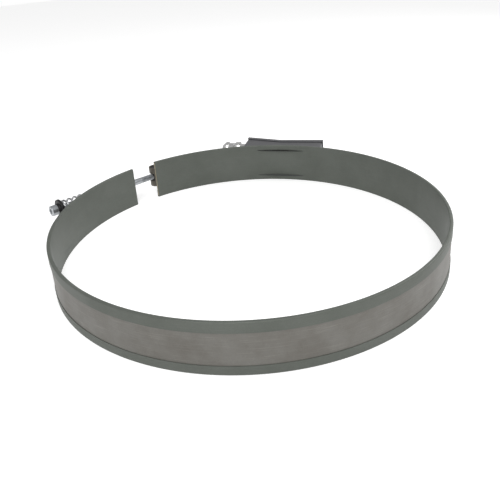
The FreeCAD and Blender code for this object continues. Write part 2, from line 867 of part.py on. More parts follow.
def make_terminals():
    """Two studs through ceramic bushes, each with two washers and two nuts."""
    radius = cell("terminal_radius")
    head_base = outer_mica_radius
    head_top = head_base + cell("terminal_head_height")
    bush_flange_base = floor_radius + cell("bush_clearance") / 2
    bush_flange_top = bush_flange_base + cell("bush_flange_height")
    bush_bore = radius + cell("running_clearance")
    stud = turned("terminal_stud_pattern", [
        (head_base, 0),
        (head_base, cell("terminal_head_radius")),
        (head_top, cell("terminal_head_radius")),
        (head_top, radius),
        (head_top + cell("terminal_length"), radius),
        (head_top + cell("terminal_length"), 0),
    ])
    bush = turned("ceramic_bush_pattern", [
        (strip_radius, bush_bore),
        (strip_radius, cell("bush_radius")),
        (bush_flange_base, cell("bush_radius")),
        (bush_flange_base, cell("bush_flange_radius")),
        (bush_flange_top, cell("bush_flange_radius")),
        (bush_flange_top, bush_bore),
    ])
    first_washer = turned("first_washer_pattern", washer_profile(bush_flange_top, bush_bore))
    first_nut_start = bush_flange_top + cell("washer_thickness")
    second_washer_start = first_nut_start + cell("nut_height")
    second_washer = turned("second_washer_pattern", washer_profile(second_washer_start, bush_bore))
    second_nut_start = second_washer_start + cell("washer_thickness")
    nut = make_nut(0)
    places = [about_axis(angle) for angle in terminal_angles()]
    nut_starts = (first_nut_start.value, second_nut_start.value)
    group("terminal_studs", [placed(stud, place) for place in places])
    group("ceramic_bushes", [placed(bush, place) for place in places])
    group("terminal_washers",
          [placed(washer, place) for place in places for washer in (first_washer, second_washer)])
    group("terminal_nuts",
          [placed(nut, place.multiply(Placement(Vector(start, 0, 0), Rotation())))
           for place in places for start in nut_starts])


def make_earth_screw():
    radius = cell("earth_screw_radius")
    head = cell("earth_head_height")
    seat = floor_radius + cell("box_seat_clearance") / 2
    tip = box_seat + cell("box_seat_clearance") / 2
    body = turned("earth_screw", [
        (tip, 0),
        (tip, radius),
        (seat, radius),
        (seat, cell("earth_head_radius")),
        (seat + head * 0.6, cell("earth_head_radius")),
        (seat + head, cell("earth_head_radius") * 0.6),
        (seat + head, 0),
    ])
    body.Placement = about_axis(cell("box_angle").value - cell("earth_angle").value)
    return keep(body, "earth_screw")


# ---------------------------------------------------------------- cable gland
def gland_place(along):
    """Place a gland piece with its own X axis running out of the box's raised end."""
    centre = Vector(band_radius.value + cell("gland_height").value, along, cell("gland_offset").value)
    return box_place.multiply(Placement(centre, Rotation(Z_AXIS, 90)))


def hex_collar(name, start, length, flats):
    """Hexagonal length of a turned piece, with its corners turned off at both ends."""
    prism = new_body(f"{name}_hex")
    corner = flats / math.sqrt(3)
    edge = (corner - flats / 2) * 0.9
    pad(prism, outline(prism, "YZ_Plane", hexagon_corners(flats)), length, False)
    prism.Placement = Placement(Vector(start.value, 0, 0), Rotation())
    barrel = turned(f"{name}_corners", [
        (start, 0),
        (start, corner - edge),
        (start + edge * 0.5, corner),
        (start + length - edge * 0.5, corner),
        (start + length, corner - edge),
        (start + length, 0),
    ])
    return combine("MultiCommon", f"{name}_collar", [prism, barrel])


def bored(name, solid, bore_profile, along):
    """Cut the stepped bore of a gland piece and put the piece in place."""
    bore = turned(f"{name}_bore", bore_profile)
    piece = combine("Cut", name, (solid, bore))
    piece.Placement = gland_place(along)
    return keep(piece, name)


def make_gland():
    """Gland body through the end wall, locknut inside, and seal under the dome nut outside."""
    end_wall = half_length.value
    thread = cell("gland_thread_radius")
    reach = cell("gland_inner_reach")
    collar_end = cell("gland_collar_length")
    hex_end = collar_end + cell("gland_hex_length")
    cone_end = hex_end + cell("gland_cone_length")
    bore = cell("gland_bore_radius")
    turned_body = turned("gland_stem", [
        (-reach, 0),
        (-reach, thread),
        (0, thread),
        (0, cell("gland_collar_radius")),
        (collar_end, cell("gland_collar_radius")),
        (collar_end, cell("gland_cone_radius")),
        (cone_end, cell("gland_cone_radius")),
        (cone_end, 0),
    ])
    body_hex = hex_collar("gland_body", collar_end, cell("gland_hex_length"), cell("gland_flats"))
    fused = combine("MultiFuse", "gland_body_blank", [turned_body, body_hex])
    bored("gland_body", fused, [
        (-reach - 1, 0),
        (-reach - 1, bore),
        (cone_end + 1, bore),
        (cone_end + 1, 0),
    ], end_wall)

    nut_start = -box_wall - cell("locknut_thickness")
    nut_bore = thread + cell("running_clearance")
    nut_hex = hex_collar("gland_locknut", nut_start, cell("locknut_thickness"), cell("gland_flats"))
    bored("gland_locknut", nut_hex, [(nut_start - 1, 0), (nut_start - 1, nut_bore), (1, nut_bore), (1, 0)],
          end_wall)
    make_gland_mouth(hex_end, cone_end, end_wall)


def make_gland_mouth(hex_end, cone_end, end_wall):
    """Dome nut screwed over the gland body, and the rubber seal that it presses on the cable."""
    gap = cell("lid_clearance") * 2
    skirt_start = hex_end + gap
    dome_hex_start = skirt_start + cell("dome_skirt_length")
    nose_start = dome_hex_start + cell("dome_hex_length")
    nose_end = nose_start + cell("dome_nose_length")
    cone_bore = cell("gland_cone_radius") + cell("running_clearance")
    mouth = cell("gland_bore_radius")
    seal_start = cone_end - 3
    seal_end = seal_start + cell("seal_length")
    skirt = turned("dome_skirt", [
        (skirt_start, 0),
        (skirt_start, cell("dome_skirt_radius")),
        (nose_start, cell("dome_skirt_radius")),
        (nose_end, cell("dome_nose_radius")),
        (nose_end, 0),
    ])
    dome_hex = hex_collar("gland_dome_nut", dome_hex_start, cell("dome_hex_length"), cell("gland_flats"))
    fused = combine("MultiFuse", "gland_dome_nut_blank", [skirt, dome_hex])
    bored("gland_dome_nut", fused, [
        (skirt_start - 1, 0),
        (skirt_start - 1, cone_bore),
        (seal_end, cone_bore),
        (seal_end + 1, mouth),
        (nose_end + 1, mouth),
        (nose_end + 1, 0),
    ], end_wall)
    seal_lip = cell("gland_bore_radius") - cell("running_clearance")
    seal = turned("gland_seal", [
        (seal_start, cell("seal_bore_radius")),
        (seal_start, seal_lip),
        (cone_end + gap, seal_lip),
        (cone_end + gap, cell("gland_cone_radius")),
        (seal_end, cell("gland_cone_radius")),
        (seal_end, cell("seal_bore_radius")),
    ])
    seal.Placement = gland_place(end_wall)
    keep(seal, "gland_seal")


# ---------------------------------------------------------------- build and export
make_inner_sheath()
make_layers()
make_ribbon()
make_left_strap(make_strap())
make_barrel("plain_barrel", cell("plain_hole_radius"), -barrel_x)
make_barrel("tapped_barrel", cell("screw_radius") + cell("running_clearance"), barrel_x)
make_screw()
make_spring_seat()
make_spring()
make_box_body()
make_lid()
make_lid_screws()
make_terminals()
make_earth_screw()
make_gland()
doc.recompute()

for obj in doc.Objects:
    if "Invalid" in obj.State or "Error" in obj.State:
        raise RuntimeError(f"{obj.Label}: {obj.State}")
os.makedirs("parts", exist_ok=True)
for obj in parts:
    shape = obj.Shape
    if shape.isNull() or not shape.isValid() or not shape.Solids:
        raise RuntimeError(f"{obj.Label} has no valid solid")
    shape.exportStep(f"parts/{obj.Label}.step")
    print(obj.Label, round(shape.Volume, 1), len(shape.Solids))
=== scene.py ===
"""Looks of a band heater: folded sheet band, spring-loaded clamp screw, terminal box and cable gland.

Metres, +Z along the bore.  Turned pieces are drawn along their own X axis and then put in place.
"""
import json
import math

import bpy
from mathutils import Matrix, Vector


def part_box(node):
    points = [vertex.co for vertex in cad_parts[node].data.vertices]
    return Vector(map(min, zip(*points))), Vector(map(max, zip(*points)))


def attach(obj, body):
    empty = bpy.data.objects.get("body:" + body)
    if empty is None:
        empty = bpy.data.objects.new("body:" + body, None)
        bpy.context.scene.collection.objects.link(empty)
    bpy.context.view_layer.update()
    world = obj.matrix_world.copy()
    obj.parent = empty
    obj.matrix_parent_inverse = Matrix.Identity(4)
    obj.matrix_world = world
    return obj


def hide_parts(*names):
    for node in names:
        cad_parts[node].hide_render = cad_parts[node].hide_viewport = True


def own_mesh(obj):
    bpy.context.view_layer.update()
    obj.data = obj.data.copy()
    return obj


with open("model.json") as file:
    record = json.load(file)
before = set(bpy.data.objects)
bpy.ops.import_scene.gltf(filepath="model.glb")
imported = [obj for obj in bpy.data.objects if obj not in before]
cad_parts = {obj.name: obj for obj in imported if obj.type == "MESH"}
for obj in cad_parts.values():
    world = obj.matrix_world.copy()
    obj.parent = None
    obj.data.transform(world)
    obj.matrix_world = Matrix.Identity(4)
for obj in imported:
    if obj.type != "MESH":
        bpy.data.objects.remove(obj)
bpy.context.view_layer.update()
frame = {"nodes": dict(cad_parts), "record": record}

# sizes in millimetres, with the bore's axis at the origin
MM = 0.001
BORE = 205.0
SHEET = 0.6
STRIP_FACE = 208.08
BAND = 208.68
HALF_WIDTH = 25.0
GAP_ANGLE = 9.4
CLAMP_LINE = 219.68
BARREL_X = 25.399
BARREL_RADIUS = 7.0
STRAP = 1.2
BOX_ANGLE = 35.5
LOW_FACE = 242.68
HIGH_FACE = 254.18
HALF_LENGTH = 55.0
BOX_HALF_WIDTH = 19.5
LID_WIDTH = 41.3
LID_CLEARANCE = 0.15
RAMP_START = 6.0
GLAND_LINE = 239.68
GLAND_OFFSET = 4.0

# ---------------------------------------------------------------- modelling helpers


def deselect():
    if bpy.context.object is not None and bpy.context.object.mode != "OBJECT":
        bpy.ops.object.mode_set(mode="OBJECT")
    bpy.ops.object.select_all(action="DESELECT")


def activate(obj):
    deselect()
    obj.select_set(True)
    bpy.context.view_layer.objects.active = obj


def edit(obj, kind="VERT"):
    activate(obj)
    bpy.ops.object.mode_set(mode="EDIT")
    bpy.ops.mesh.select_mode(type=kind)


def leave_edit():
    bpy.ops.object.mode_set(mode="OBJECT")


def pick(obj, kind, test):
    """Select the vertices, edges or faces whose middle passes the test (in millimetres)."""
    edit(obj, kind)
    bpy.ops.mesh.select_all(action="DESELECT")
    leave_edit()
    mesh = obj.data
    if kind == "VERT":
        for vertex in mesh.vertices:
            vertex.select = test(vertex.co / MM)
    if kind == "EDGE":
        for edge in mesh.edges:
            ends = [mesh.vertices[index].co for index in edge.vertices]
            edge.select = test((ends[0] + ends[1]) / (2 * MM))
    if kind == "FACE":
        for face in mesh.polygons:
            face.select = test(face.center / MM)
    bpy.ops.object.mode_set(mode="EDIT")


def apply_modifier(obj, kind, **settings):
    activate(obj)
    modifier = obj.modifiers.new(kind.title(), kind)
    for key, value in settings.items():
        setattr(modifier, key, value)
    bpy.ops.object.modifier_apply(modifier=modifier.name)


def soften(obj, width, segments=2, angle=35):
    apply_modifier(obj, "BEVEL", width=width * MM, segments=segments, limit_method="ANGLE",
                   angle_limit=math.radians(angle), use_clamp_overlap=True)


def smooth(obj, angle=32):
    activate(obj)
    bpy.ops.object.shade_smooth_by_angle(angle=math.radians(angle))


def outward(obj):
    edit(obj)
    bpy.ops.mesh.select_all(action="SELECT")
    bpy.ops.mesh.normals_make_consistent(inside=False)
    leave_edit()


def put(obj, place):
    """Move a piece to its place and leave that place in its mesh."""
    activate(obj)
    obj.matrix_world = place
    bpy.ops.object.transform_apply(location=True, rotation=True, scale=True)


def turned(name, profile, sides=64, spin=0.0, closed=False):
    """Ring drawn out along X through (x, radius) steps; closed rings join back on themselves."""
    deselect()
    start_x, start_radius = profile[0]
    bpy.ops.mesh.primitive_circle_add(vertices=sides, radius=start_radius * MM, fill_type="NOTHING",
                                      location=(start_x * MM, 0, 0), rotation=(0, math.pi / 2, 0))
    obj = bpy.context.object
    obj.name = name
    bpy.ops.object.transform_apply(location=True, rotation=True, scale=True)
    edit(obj)
    bpy.ops.mesh.select_all(action="SELECT")
    if spin:
        bpy.ops.transform.rotate(value=spin, orient_axis="X", center_override=(start_x * MM, 0, 0))
    for (x, radius), (next_x, next_radius) in zip(profile, profile[1:]):
        bpy.ops.mesh.extrude_region_move(TRANSFORM_OT_translate={"value": ((next_x - x) * MM, 0, 0)})
        grow = next_radius / radius
        bpy.ops.transform.resize(value=(1, grow, grow), center_override=(next_x * MM, 0, 0))
    bpy.ops.mesh.select_all(action="SELECT")
    if closed:
        bpy.ops.mesh.remove_doubles(threshold=1e-6)
    else:
        bpy.ops.mesh.fill_holes(sides=0)
    bpy.ops.mesh.normals_make_consistent(inside=False)
    leave_edit()
    return obj


def chain(name, points):
    """Wire through the points, drawn out from a single vertex."""
    deselect()
    bpy.ops.mesh.primitive_plane_add(size=MM, location=Vector(points[0]) * MM)
    obj = bpy.context.object
    obj.name = name
    bpy.ops.object.transform_apply(location=True, rotation=True, scale=True)
    edit(obj)
    bpy.ops.mesh.select_all(action="SELECT")
    bpy.ops.mesh.merge(type="CENTER")
    for start, end in zip(points, points[1:]):
        step = (Vector(end) - Vector(start)) * MM
        bpy.ops.mesh.extrude_region_move(TRANSFORM_OT_translate={"value": step})
    leave_edit()
    return obj


def draw_out(obj, steps):
    """Extrude the whole wire or sheet by each step in turn."""
    edit(obj)
    bpy.ops.mesh.select_all(action="SELECT")
    for step in steps:
        bpy.ops.mesh.extrude_region_move(TRANSFORM_OT_translate={"value": Vector(step) * MM})
    leave_edit()


def arc(centre, radius, start, end, count):
    """Points on an arc in the XY plane, angles in degrees."""
    points = []
    for index in range(count + 1):
        angle = math.radians(start + (end - start) * index / count)
        points.append((centre[0] + radius * math.cos(angle), centre[1] + radius * math.sin(angle)))
    return points


def boolean(obj, tool, operation):
    apply_modifier(obj, "BOOLEAN", object=tool, operation=operation, solver="EXACT")
    bpy.data.objects.remove(tool, do_unlink=True)


def join(name, pieces):
    activate(pieces[0])
    for piece in pieces[1:]:
        piece.select_set(True)
    bpy.ops.object.join()
    pieces[0].name = name
    return pieces[0]


def dress(obj, material):
    obj.data.materials.clear()
    obj.data.materials.append(material)


def stand_for(obj, body, material, slot, *nodes):
    """Give a piece its finish, the body that it rides on and the CAD nodes that it stands for."""
    dress(obj, material)
    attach(obj, body)
    if nodes:
        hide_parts(*nodes)


# ---------------------------------------------------------------- finishes


def add(tree, kind, inputs=None, **settings):
    """New shader node with its settings and inputs; an input is a value or another node's socket."""
    node = tree.nodes.new(kind)
    for key, value in settings.items():
        setattr(node, key, value)
    for key, value in (inputs or {}).items():
        if isinstance(value, bpy.types.NodeSocket):
            tree.links.new(value, node.inputs[key])
        else:
            node.inputs[key].default_value = value
    return node


def new_group(name, numbers, colours, outputs):
    """Node group with named number and colour inputs and its outputs (name, socket type)."""
    group = bpy.data.node_groups.new(name, "ShaderNodeTree")
    for key, value in numbers.items():
        socket = group.interface.new_socket(name=key, in_out="INPUT", socket_type="NodeSocketFloat")
        socket.default_value = value
    for key, value in colours.items():
        socket = group.interface.new_socket(name=key, in_out="INPUT", socket_type="NodeSocketColor")
        socket.default_value = (*value, 1)
    for key, kind in outputs:
        group.interface.new_socket(name=key, in_out="OUTPUT", socket_type=kind)
    return group, group.nodes.new("NodeGroupInput"), group.nodes.new("NodeGroupOutput")


def ramp(tree, factor, stops):
    node = add(tree, "ShaderNodeValToRGB", {"Fac": factor})
    elements = node.color_ramp.elements
    while len(elements) < len(stops):
        elements.new(0.5)
    for element, (position, level) in zip(elements, stops):
        element.position = position
        element.color = (level, level, level, 1)
    return node.outputs["Color"]


def mix(tree, factor, first, second, blend="MIX"):
    node = add(tree, "ShaderNodeMix", data_type="RGBA", blend_type=blend)
    for index, value in ((0, factor), (6, first), (7, second)):
        if isinstance(value, bpy.types.NodeSocket):
            tree.links.new(value, node.inputs[index])
        elif index == 0:
            node.inputs[index].default_value = value
        else:
            node.inputs[index].default_value = (*value[:3], 1)
    return node.outputs[2]


def make_surface_group():
    """Blotches, grain and fine scratches on metal: colour, roughness and normal."""
    group, given, out = new_group(
        "worn_metal",
        {"Blotch size": 60, "Grain size": 900, "Blotch": 0.5, "Scratch": 0.3, "Rough": 0.5,
         "Rough change": 0.1, "Bump": 0.1},
        {"Colour": (0.3, 0.3, 0.3), "Stain": (0.2, 0.2, 0.2)},
        [("Color", "NodeSocketColor"), ("Roughness", "NodeSocketFloat"), ("Normal", "NodeSocketVector")],
    )
    place = add(group, "ShaderNodeTexCoord").outputs["Object"]
    blotch = add(group, "ShaderNodeTexNoise", {"Vector": place, "Scale": given.outputs["Blotch size"],
                                               "Detail": 6, "Roughness": 0.62}).outputs["Fac"]
    grain = add(group, "ShaderNodeTexNoise", {"Vector": place, "Scale": given.outputs["Grain size"],
                                              "Detail": 3, "Roughness": 0.6}).outputs["Fac"]
    stretch = add(group, "ShaderNodeMapping", {"Vector": place, "Scale": (40, 40, 1400)}).outputs[0]
    lines = add(group, "ShaderNodeTexNoise", {"Vector": stretch, "Scale": 1.0, "Detail": 2}).outputs["Fac"]
    blotch_mask = ramp(group, blotch, [(0.38, 0), (0.66, 1)])
    scratch_mask = ramp(group, lines, [(0.56, 0), (0.74, 1)])
    blotch_part = add(group, "ShaderNodeMath", {0: blotch_mask, 1: given.outputs["Blotch"]},
                      operation="MULTIPLY").outputs[0]
    scratch_part = add(group, "ShaderNodeMath", {0: scratch_mask, 1: given.outputs["Scratch"]},
                       operation="MULTIPLY").outputs[0]
    stained = mix(group, blotch_part, given.outputs["Colour"], given.outputs["Stain"])
    bright = mix(group, 1.0, stained, (1.5, 1.5, 1.5), "MULTIPLY")
    scratched = mix(group, scratch_part, stained, bright)
    grainy = mix(group, 0.12, scratched, grain, "OVERLAY")
    group.links.new(grainy, out.inputs["Color"])
    change = add(group, "ShaderNodeMath", {0: blotch, 1: 0.5}, operation="SUBTRACT").outputs[0]
    rough = add(group, "ShaderNodeMath", {0: change, 1: given.outputs["Rough change"],
                                          2: given.outputs["Rough"]}, operation="MULTIPLY_ADD")
    group.links.new(rough.outputs[0], out.inputs["Roughness"])
    height = add(group, "ShaderNodeMath", {0: grain, 1: lines}, operation="ADD").outputs[0]
    bump = add(group, "ShaderNodeBump", {"Height": height, "Strength": given.outputs["Bump"],
                                         "Distance": 0.0002})
    group.links.new(bump.outputs[0], out.inputs["Normal"])
    return group


def new_material(name, metallic, specular=0.5):
    material = bpy.data.materials.new(name)
    material.use_nodes = True
    shader = material.node_tree.nodes["Principled BSDF"]
    shader.inputs["Metallic"].default_value = metallic
    shader.inputs["Specular IOR Level"].default_value = specular
    return material, material.node_tree, shader


WORN_METAL = make_surface_group()


def worn(name, metallic, colour, stain, **values):
    """Material that wears the shared metal surface with its own values."""
    material, tree, shader = new_material(name, metallic)
    surface = add(tree, "ShaderNodeGroup", node_tree=WORN_METAL)
    surface.inputs["Colour"].default_value = (*colour, 1)
    surface.inputs["Stain"].default_value = (*stain, 1)
    for key, value in values.items():
        surface.inputs[key.replace("_", " ")].default_value = value
    tree.links.new(surface.outputs["Color"], shader.inputs["Base Color"])
    tree.links.new(surface.outputs["Roughness"], shader.inputs["Roughness"])
    tree.links.new(surface.outputs["Normal"], shader.inputs["Normal"])
    return material


sheath_finish = worn("sheath_sheet", 0.3, (0.115, 0.125, 0.11), (0.085, 0.095, 0.08),
                     Blotch_size=22, Blotch=0.55, Scratch=0.15, Rough=0.55, Bump=0.1)
strip_finish = worn("stained_strip", 0.35, (0.17, 0.165, 0.15), (0.11, 0.10, 0.085),
                    Blotch_size=30, Blotch=0.6, Scratch=0.5, Rough=0.5, Bump=0.15)
strap_finish = worn("rolled_strap", 0.35, (0.13, 0.12, 0.10), (0.07, 0.06, 0.05),
                    Blotch_size=90, Blotch=0.6, Scratch=0.2, Rough=0.5, Bump=0.2)
black_finish = worn("black_oxide", 0.4, (0.012, 0.012, 0.012), (0.03, 0.028, 0.025),
                    Blotch_size=200, Blotch=0.4, Scratch=0.1, Rough=0.45, Bump=0.1)
screw_finish = worn("zinc_plate", 0.9, (0.42, 0.44, 0.46), (0.25, 0.25, 0.25),
                    Blotch_size=300, Blotch=0.4, Scratch=0.2, Rough=0.35, Bump=0.1)
spring_finish = worn("spring_wire", 0.9, (0.45, 0.46, 0.47), (0.22, 0.21, 0.2),
                     Blotch_size=250, Blotch=0.5, Scratch=0.2, Rough=0.33, Bump=0.1)
paint_finish = worn("grey_box_paint", 0.0, (0.075, 0.075, 0.08), (0.06, 0.06, 0.063),
                    Blotch_size=60, Blotch=0.5, Scratch=0.06, Rough=0.5, Bump=0.25)
nickel_finish = worn("nickel_plate", 1.0, (0.62, 0.62, 0.62), (0.45, 0.44, 0.42),
                     Blotch_size=260, Blotch=0.4, Scratch=0.2, Rough=0.25, Bump=0.05)
rubber_finish = worn("seal_rubber", 0.0, (0.015, 0.015, 0.015), (0.03, 0.03, 0.03),
                     Blotch_size=200, Blotch=0.4, Scratch=0.0, Rough=0.7, Bump=0.1)
brass_finish = worn("turned_brass", 1.0, (0.6, 0.45, 0.2), (0.4, 0.28, 0.12),
                    Blotch_size=300, Blotch=0.4, Scratch=0.2, Rough=0.35, Bump=0.05)
ceramic_finish = worn("steatite", 0.0, (0.7, 0.66, 0.58), (0.55, 0.5, 0.42),
                      Blotch_size=200, Blotch=0.4, Scratch=0.0, Rough=0.6, Bump=0.1)
mica_finish = worn("pressed_mica", 0.0, (0.42, 0.36, 0.24), (0.3, 0.25, 0.15),
                   Blotch_size=150, Blotch=0.5, Scratch=0.3, Rough=0.45, Bump=0.2)
ribbon_finish = worn("resistance_ribbon", 0.9, (0.42, 0.38, 0.33), (0.25, 0.22, 0.2),
                     Blotch_size=200, Blotch=0.4, Scratch=0.3, Rough=0.4, Bump=0.1)

SLOT_FINISH = {
    "sheath": sheath_finish, "strip": strip_finish, "mica": mica_finish, "ribbon": ribbon_finish,
    "strap": strap_finish, "black_steel": black_finish, "screw_steel": screw_finish,
    "spring_steel": spring_finish, "grey_paint": paint_finish, "ceramic": ceramic_finish,
    "brass": brass_finish, "nickel": nickel_finish, "rubber": rubber_finish,
}
for part in frame["record"]["subparts"]:
    dress(frame["nodes"][part["node"]], SLOT_FINISH[part["material_slot"]])

# ---------------------------------------------------------------- band


def spin_sheet(name, section, steps=480):
    """Spin a wire section (radius, height) round the bore, then give the sheet its thickness."""
    start = math.radians(90 - GAP_ANGLE / 2)
    points = [(r * math.cos(start), r * math.sin(start), z) for r, z in section]
    obj = chain(name, points)
    edit(obj)
    bpy.ops.mesh.select_all(action="SELECT")
    bpy.ops.mesh.spin(steps=steps, angle=math.radians(360 - GAP_ANGLE), center=(0, 0, 0), axis=(0, 0, 1))
    bpy.ops.mesh.select_all(action="SELECT")
    bpy.ops.mesh.remove_doubles(threshold=1e-7)
    bpy.ops.mesh.normals_make_consistent(inside=False)
    leave_edit()
    apply_modifier(obj, "SOLIDIFY", thickness=SHEET * MM, offset=0, use_even_offset=True)
    outward(obj)
    smooth(obj, 40)
    return obj


def make_inner_sheath():
    """Wall against the bore with both rims folded out and back as lips."""
    fold_radius, lower_lip, upper_lip = 1.0, 9.0, 10.0
    bend = fold_radius - SHEET / 2
    wall = BORE + SHEET / 2
    lip = BAND - SHEET / 2
    top = HALF_WIDTH - SHEET / 2
    section = [(lip, -HALF_WIDTH + lower_lip)]
    section += [(lip - bend + u, -top + bend + v) for u, v in arc((0, 0), bend, 0, -90, 4)]
    section += [(wall + bend + u, -top + bend + v) for u, v in arc((0, 0), bend, -90, -180, 4)]
    section += [(wall, -8), (wall, 8)]
    section += [(wall + bend + u, top - bend + v) for u, v in arc((0, 0), bend, 180, 90, 4)]
    section += [(lip - bend + u, top - bend + v) for u, v in arc((0, 0), bend, 90, 0, 4)]
    section += [(lip, HALF_WIDTH - upper_lip)]
    obj = spin_sheet("folded_sheath", section)
    stand_for(obj, "band", sheath_finish, "sheath", "inner_sheath")


def make_cover_strip():
    """Strip held under the two lips."""
    middle, edge = STRIP_FACE - SHEET / 2, 24.3
    section = [(middle, -edge), (middle, -8), (middle, 8), (middle, edge)]
    obj = spin_sheet("cover_strip", section)
    stand_for(obj, "band", strip_finish, "strip", "outer_sheath")


make_inner_sheath()
make_cover_strip()

# ---------------------------------------------------------------- clamp


def make_strap(name, side, node):
    """Strap that leaves the band, rises to its barrel and rolls round it; slit for the screw."""
    foot_length, wrap, half_width, slit_half = 36.0, 315, 13, 5
    leg_line = STRIP_FACE + STRAP / 2
    eye_line = BARREL_RADIUS + 0.05 + STRAP / 2
    distance = math.hypot(BARREL_X, CLAMP_LINE)
    lean = math.degrees(math.acos((leg_line + eye_line) / distance)) + math.degrees(
        math.atan2(BARREL_X, CLAMP_LINE))
    foot = math.degrees(foot_length / leg_line)
    points = arc((0, 0), leg_line, 90 - lean - foot, 90 - lean, 12)
    points += arc((BARREL_X, CLAMP_LINE), eye_line, 270 - lean, 270 - lean - wrap, 44)
    obj = chain(name, [(side * x, y, -half_width) for x, y in points])
    draw_out(obj, [(0, 0, half_width - slit_half), (0, 0, 2 * slit_half), (0, 0, half_width - slit_half)])
    slit_floor, slit_end = CLAMP_LINE - 5, BARREL_X + 12
    pick(obj, "FACE", lambda c: abs(c.z) < slit_half - 1 and c.y > slit_floor and abs(c.x) < slit_end)
    bpy.ops.mesh.delete(type="FACE")
    bpy.ops.mesh.select_all(action="SELECT")
    bpy.ops.mesh.normals_make_consistent(inside=False)
    leave_edit()
    apply_modifier(obj, "SOLIDIFY", thickness=STRAP * MM, offset=0, use_even_offset=True)
    outward(obj)
    soften(obj, 0.15, 2, 50)
    smooth(obj)
    stand_for(obj, "band", strap_finish, "strap", node)


def make_barrel(name, x, hole, node):
    """Cross barrel with its ends chamfered and a hole across it for the screw."""
    end, chamfer = 12.0, 0.6
    obj = turned(name, [(-end, BARREL_RADIUS - chamfer), (-end + chamfer, BARREL_RADIUS),
                        (end - chamfer, BARREL_RADIUS), (end, BARREL_RADIUS - chamfer)], 72)
    put(obj, Matrix.Translation((x * MM, CLAMP_LINE * MM, 0)) @ Matrix.Rotation(-math.pi / 2, 4, "Y"))
    drill = turned("drill", [(-end, hole), (end, hole)], 40)
    put(drill, Matrix.Translation((x * MM, CLAMP_LINE * MM, 0)))
    boolean(obj, drill, "DIFFERENCE")
    soften(obj, 0.12, 2, 40)
    smooth(obj)
    stand_for(obj, "band", black_finish, "black_steel", node)


for hand, title in ((-1, "left"), (1, "right")):
    make_strap(f"{title}_strap", hand, f"{title}_clamp_strap")
make_barrel("plain_cross_barrel", -BARREL_X, 4.3, "plain_barrel")
make_barrel("tapped_cross_barrel", BARREL_X, 4.05, "tapped_barrel")

SEAT_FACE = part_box("clamp_spring")[0].x / MM - 0.1
SPRING_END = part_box("clamp_spring")[1].x / MM + 0.1
HEAD_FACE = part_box("clamp_screw")[0].x / MM
SCREW_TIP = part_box("clamp_screw")[1].x / MM


def make_screw():
    """Socket head cap screw with a turned head and a wound thread."""
    head_height, thread_length, pitch, core = 8, 38, 1.25, 3.35
    socket_radius, socket_depth = 3.46, 4
    under = HEAD_FACE + head_height
    thread_start = SCREW_TIP - thread_length
    body = turned("cap_screw", [
        (HEAD_FACE, 5.7), (HEAD_FACE + 0.25, 6.15), (HEAD_FACE + 0.8, 6.5), (under - 0.3, 6.5),
        (under, 6.2), (under, 4.4), (under + 0.4, 4.0), (thread_start - 1, 4.0), (thread_start, core),
        (SCREW_TIP - 0.9, core), (SCREW_TIP, 2.7)], 72)
    socket = turned("socket", [(HEAD_FACE - 1, socket_radius), (HEAD_FACE + socket_depth, socket_radius)],
                    6, math.pi / 6)
    boolean(body, socket, "DIFFERENCE")
    soften(body, 0.12, 2, 50)
    root, depth, half = 3.25, 0.68, 0.52
    profile = [(thread_start - half, root, 0), (thread_start, root + depth, 0), (thread_start + half, root, 0)]
    rib = chain("thread_rib", profile + profile[:1])
    edit(rib)
    bpy.ops.mesh.select_all(action="SELECT")
    bpy.ops.mesh.remove_doubles(threshold=1e-6)
    leave_edit()
    turns = int((SCREW_TIP - 1.6 - thread_start) / pitch)
    apply_modifier(rib, "SCREW", axis="X", angle=math.tau, screw_offset=pitch * MM, iterations=turns,
                   steps=28, render_steps=28, use_merge_vertices=False, use_smooth_shade=True)
    edit(rib)
    bpy.ops.mesh.select_all(action="SELECT")
    bpy.ops.mesh.fill_holes(sides=0)
    bpy.ops.mesh.normals_make_consistent(inside=False)
    leave_edit()
    screw = join("cap_screw", [body, rib])
    put(screw, Matrix.Translation((0, CLAMP_LINE * MM, 0)))
    smooth(screw, 28)
    stand_for(screw, "clamp_screw", screw_finish, "screw_steel", "clamp_screw")


def make_seat():
    """Stepped collar: hub towards the head, flange behind the spring, spigot inside it."""
    hub = SEAT_FACE - 5.4
    obj = turned("stepped_seat", [
        (hub, 4.1), (hub, 6.6), (hub + 0.3, 6.9), (hub + 2.4, 6.9), (hub + 2.4, 11.1), (hub + 2.8, 11.5),
        (SEAT_FACE - 0.4, 11.5), (SEAT_FACE, 11.1), (SEAT_FACE, 6.3), (SEAT_FACE + 2.6, 6.3),
        (SEAT_FACE + 3, 5.9), (SEAT_FACE + 3, 4.1), (hub, 4.1)], 72, closed=True)
    soften(obj, 0.1, 2, 40)
    put(obj, Matrix.Translation((0, CLAMP_LINE * MM, 0)))
    smooth(obj)
    stand_for(obj, "spring_seat", black_finish, "black_steel", "spring_seat")


